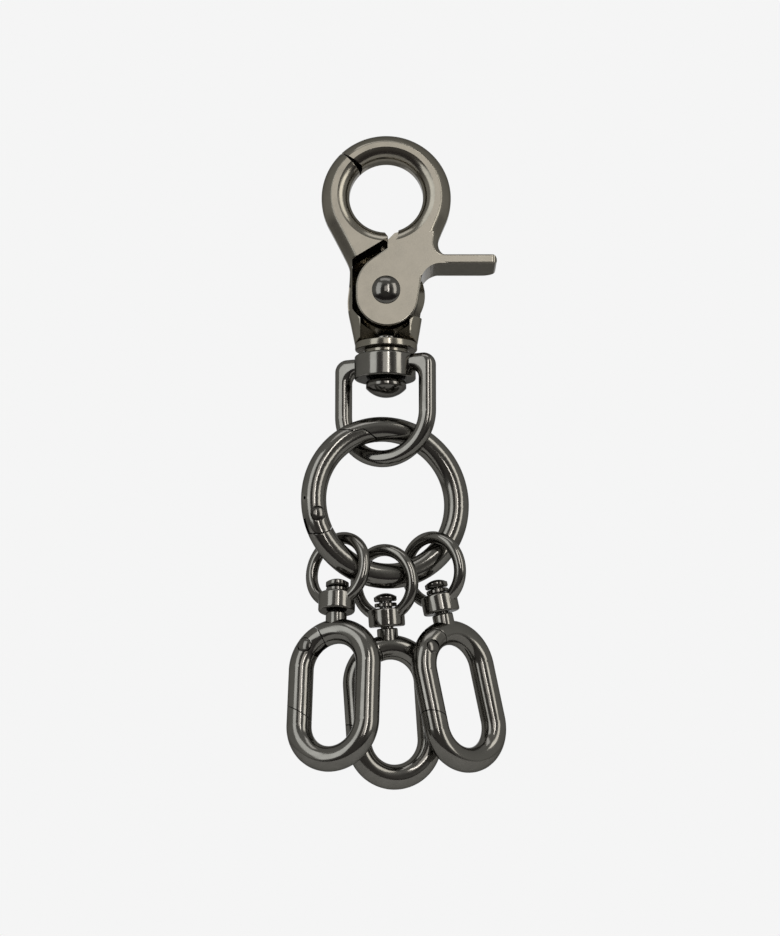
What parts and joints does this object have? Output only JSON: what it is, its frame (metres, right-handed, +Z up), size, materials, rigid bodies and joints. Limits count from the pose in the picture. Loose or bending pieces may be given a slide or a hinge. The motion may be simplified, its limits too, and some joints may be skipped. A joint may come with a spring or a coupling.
{
  "type": "key ring",
  "caption": "Hanging key ring: a trigger snap with a swivel bail carries a spring-gate ring, and swivel links on that ring carry oval spring-gate hooks for keys.",
  "frame": {"origin": "the hang point: top of the hole in the trigger snap's eye, at the middle of its thickness", "axes": "+Z up, +X to the right of the snap's flat face, +Y away from the viewer, into the picture"},
  "size_m": [0.0446, 0.022, 0.1368],
  "materials": {
    "snap_body": "polished gunmetal plating on die-cast zinc alloy",
    "lever_rivet": "polished gunmetal plating on die-cast zinc alloy",
    "lever_spring": "drawn spring wire",
    "swivel_pin": "polished gunmetal plating on die-cast zinc alloy",
    "trigger_lever": "polished gunmetal plating on die-cast zinc alloy",
    "swivel_bail": "polished gunmetal plating on die-cast zinc alloy",
    "ring_frame": "polished gunmetal plating on die-cast zinc alloy",
    "ring_gate_rivet": "polished gunmetal plating on die-cast zinc alloy",
    "ring_gate": "polished gunmetal plating on die-cast zinc alloy",
    "left_link_ring": "polished gunmetal plating on die-cast zinc alloy",
    "left_washer": "polished gunmetal plating on die-cast zinc alloy",
    "left_post": "polished gunmetal plating on die-cast zinc alloy",
    "left_hook_frame": "polished gunmetal plating on die-cast zinc alloy",
    "left_gate_rivet": "polished gunmetal plating on die-cast zinc alloy",
    "left_hook_gate": "polished gunmetal plating on die-cast zinc alloy",
    "middle_link_ring": "polished gunmetal plating on die-cast zinc alloy",
    "middle_washer": "polished gunmetal plating on die-cast zinc alloy",
    "middle_post": "polished gunmetal plating on die-cast zinc alloy",
    "middle_hook_frame": "polished gunmetal plating on die-cast zinc alloy",
    "middle_gate_rivet": "polished gunmetal plating on die-cast zinc alloy",
    "middle_hook_gate": "polished gunmetal plating on die-cast zinc alloy",
    "right_link_ring": "polished gunmetal plating on die-cast zinc alloy",
    "right_washer": "polished gunmetal plating on die-cast zinc alloy",
    "right_post": "polished gunmetal plating on die-cast zinc alloy",
    "right_hook_frame": "polished gunmetal plating on die-cast zinc alloy",
    "right_gate_rivet": "polished gunmetal plating on die-cast zinc alloy",
    "right_hook_gate": "polished gunmetal plating on die-cast zinc alloy"
  },
  "bodies": {
    "snap": {"snap_body": "snap_body", "lever_rivet": "lever_rivet", "lever_spring": "lever_spring", "swivel_pin": "swivel_pin"},
    "lever": {"trigger_lever": "trigger_lever"},
    "bail": {"swivel_bail": "swivel_bail"},
    "ring": {"ring_frame": "ring_frame", "ring_gate_rivet": "ring_gate_rivet"},
    "gate": {"ring_gate": "ring_gate"},
    "left_link": {"left_link_ring": "left_link_ring"},
    "left_hook": {"left_washer": "left_washer", "left_post": "left_post", "left_hook_frame": "left_hook_frame", "left_gate_rivet": "left_gate_rivet"},
    "left_gate": {"left_hook_gate": "left_hook_gate"},
    "middle_link": {"middle_link_ring": "middle_link_ring"},
    "middle_hook": {"middle_washer": "middle_washer", "middle_post": "middle_post", "middle_hook_frame": "middle_hook_frame", "middle_gate_rivet": "middle_gate_rivet"},
    "middle_gate": {"middle_hook_gate": "middle_hook_gate"},
    "right_link": {"right_link_ring": "right_link_ring"},
    "right_hook": {"right_washer": "right_washer", "right_post": "right_post", "right_hook_frame": "right_hook_frame", "right_gate_rivet": "right_gate_rivet"},
    "right_gate": {"right_hook_gate": "right_hook_gate"}
  },
  "joints": [
    {"name": "lever_pivot", "type": "hinge", "parent": "snap", "child": "lever", "pos_m": [0, 0, -0.02845], "axis": [0, 1, 0], "range_deg": [0, 24], "stiffness_Nm_per_rad": 0.15, "springref_deg": -17.19, "deforming": ["lever_spring"]},
    {"name": "bail_swivel", "type": "hinge", "parent": "snap", "child": "bail", "pos_m": [-0.0002, 0, -0.04185], "axis": [0, 0, 1], "continuous": true},
    {"name": "ring_swing", "type": "hinge", "parent": "bail", "child": "ring", "pos_m": [-0.0001, 0, -0.0602], "axis": [0.9063, -0.4226, 0], "range_deg": [-20, 10]},
    {"name": "ring_gate_hinge", "type": "hinge", "parent": "ring", "child": "gate", "pos_m": [-0.01446, -0.00412, -0.07591], "axis": [-0.2756, 0.9613, 0], "range_deg": [0, 2], "stiffness_Nm_per_rad": 0.03, "springref_deg": -17.19},
    {"name": "left_link_swing", "type": "hinge", "parent": "ring", "child": "left_link", "pos_m": [-0.00843, -0.00239, -0.08521], "axis": [0.7922, 0.2272, -0.5664], "range_deg": [-25, 8]},
    {"name": "left_hook_swivel", "type": "hinge", "parent": "left_link", "child": "left_hook", "pos_m": [-0.00985, -0.00154, -0.08684], "axis": [0.0257, 0.1908, 0.9813], "range_deg": [-45, 20]},
    {"name": "left_gate_hinge", "type": "hinge", "parent": "left_hook", "child": "left_gate", "pos_m": [-0.01558, -0.00215, -0.10285], "axis": [-0.4179, -0.8897, 0.1839], "range_deg": [0, 25], "stiffness_Nm_per_rad": 0.03, "springref_deg": -17.19},
    {"name": "middle_link_swing", "type": "hinge", "parent": "ring", "child": "middle_link", "pos_m": [-0.00023, -0.00004, -0.0879], "axis": [0.9612, 0.2756, -0.0087], "range_deg": [0, 25]},
    {"name": "middle_hook_swivel", "type": "hinge", "parent": "middle_link", "child": "middle_hook", "pos_m": [-0.00039, 0.0006, -0.0893], "axis": [-0.0661, -0.0732, 0.9951], "range_deg": [0, 30]},
    {"name": "middle_gate_hinge", "type": "hinge", "parent": "middle_hook", "child": "middle_gate", "pos_m": [-0.00497, 0.00026, -0.10568], "axis": [0.2629, -0.9633, -0.0534], "range_deg": [0, 25], "stiffness_Nm_per_rad": 0.03, "springref_deg": -17.19},
    {"name": "right_link_swing", "type": "hinge", "parent": "ring", "child": "right_link", "pos_m": [0.00834, 0.00242, -0.08513], "axis": [0.7874, 0.2258, 0.5736], "range_deg": [-25, 0]},
    {"name": "right_hook_swivel", "type": "hinge", "parent": "right_link", "child": "right_hook", "pos_m": [0.00966, 0.00135, -0.08654], "axis": [-0.1994, 0, 0.9799], "range_deg": [0, 60]},
    {"name": "right_gate_hinge", "type": "hinge", "parent": "right_hook", "child": "right_gate", "pos_m": [0.00826, -0.00217, -0.10313], "axis": [0.5897, -0.7986, 0.12], "range_deg": [0, 25], "stiffness_Nm_per_rad": 0.03, "springref_deg": -17.19}
  ]
}
